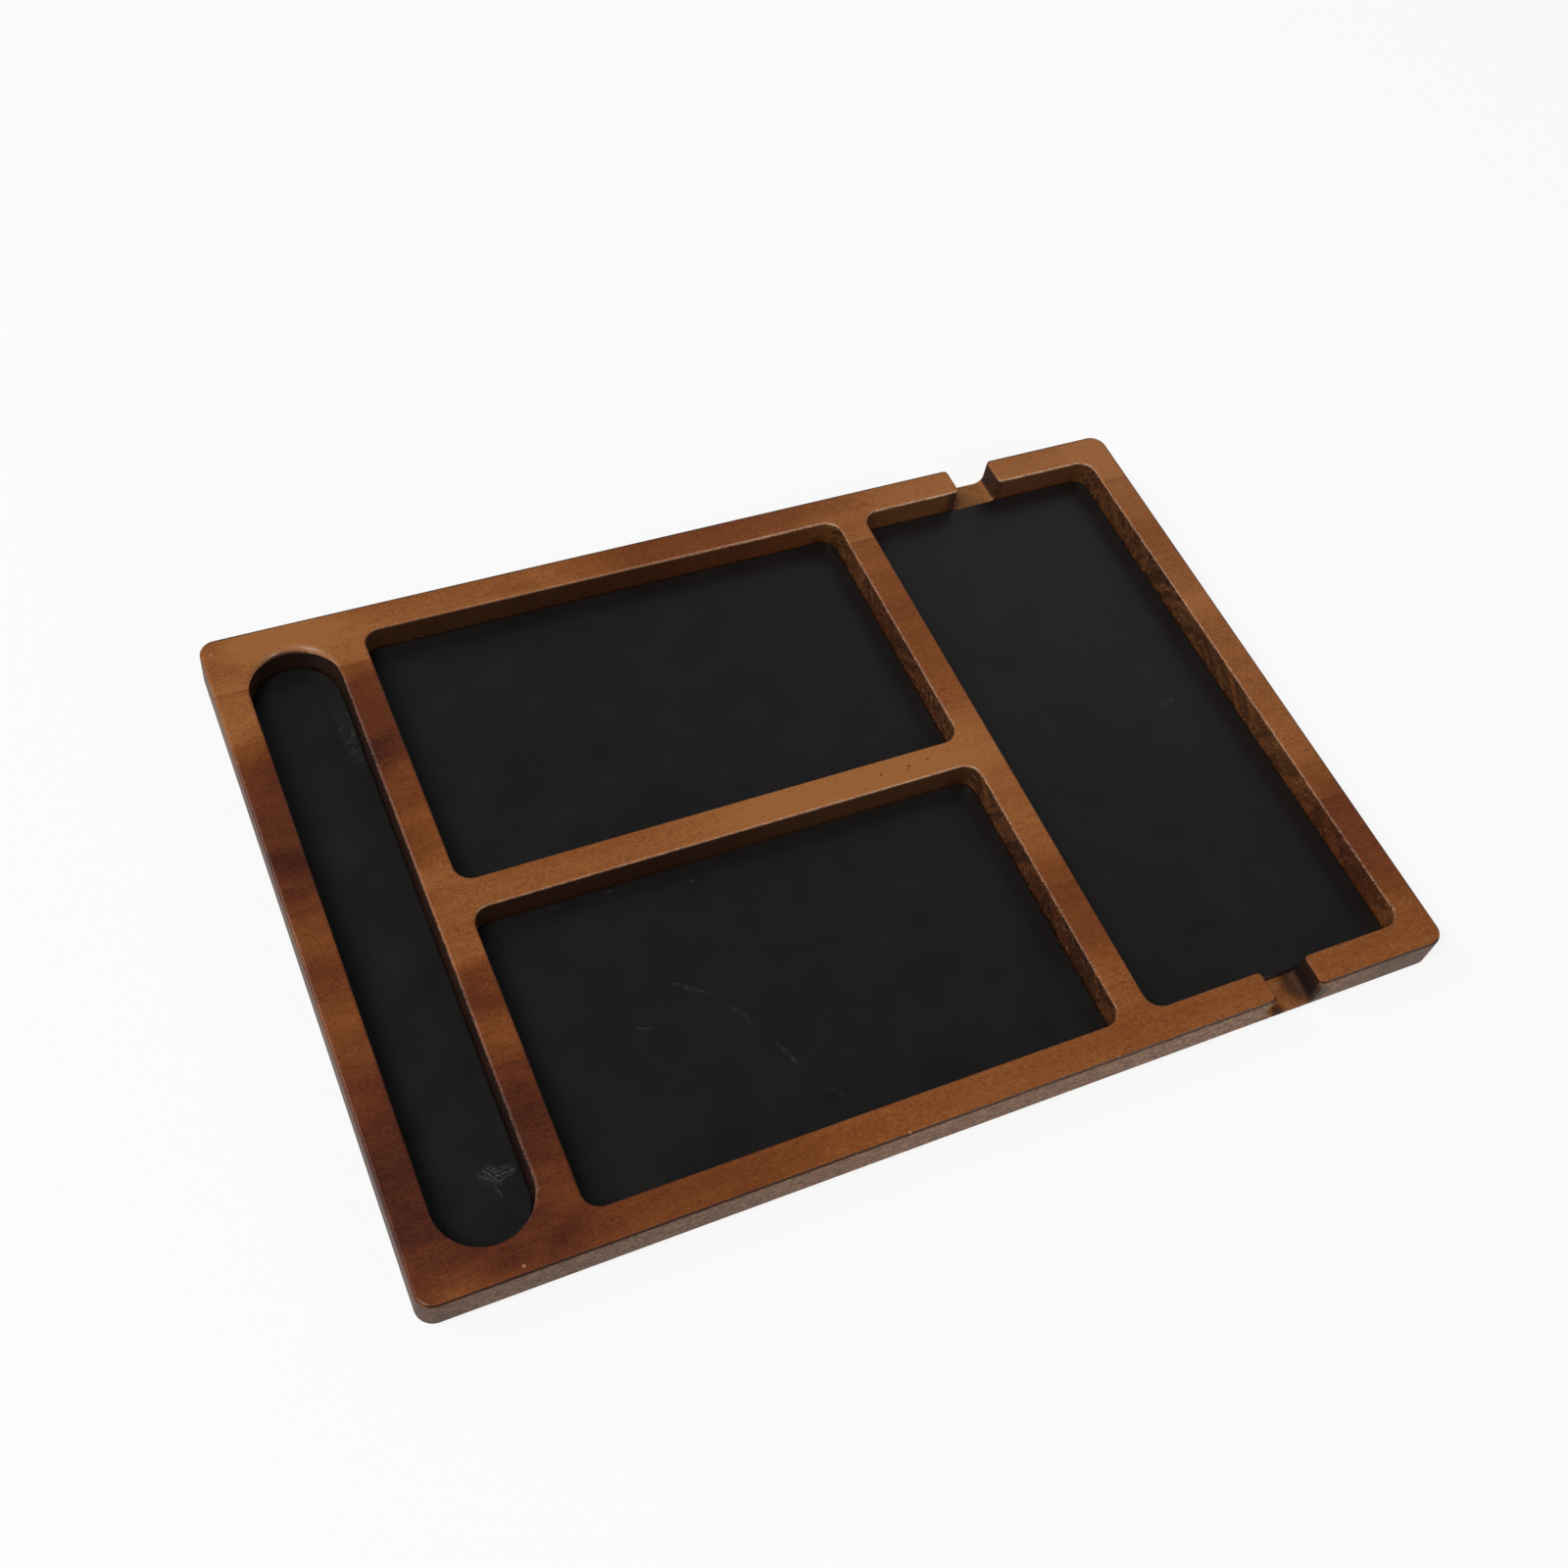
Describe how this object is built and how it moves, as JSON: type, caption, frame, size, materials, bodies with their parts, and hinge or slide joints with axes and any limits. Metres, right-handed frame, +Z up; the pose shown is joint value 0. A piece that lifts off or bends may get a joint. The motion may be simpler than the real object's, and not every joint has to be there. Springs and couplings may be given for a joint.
{
  "type": "valet tray",
  "caption": "Flat rectangular hardwood valet tray with a round-ended pen slot, two middle pockets and a long side pocket with cable notches, each floor lined with black leather.",
  "frame": {"origin": "centre of the underside", "axes": "+X along the long side, away from the pen slot; +Y from the front rail to the back rail; +Z up"},
  "size_m": [0.37, 0.254, 0.015],
  "materials": {
    "stained_hardwood": "brown stain under a satin lacquer, long grain along X",
    "black_leather": "smooth black leather, low sheen, fine grain"
  },
  "bodies": {
    "root": {"front_edge_stave": "stained_hardwood", "board_stave_2": "stained_hardwood", "board_stave_3": "stained_hardwood", "board_stave_4": "stained_hardwood", "board_stave_5": "stained_hardwood", "board_stave_6": "stained_hardwood", "back_edge_stave": "stained_hardwood", "pen_slot_liner": "black_leather", "front_pocket_liner": "black_leather", "back_pocket_liner": "black_leather", "large_pocket_liner": "black_leather"}
  },
  "joints": []
}
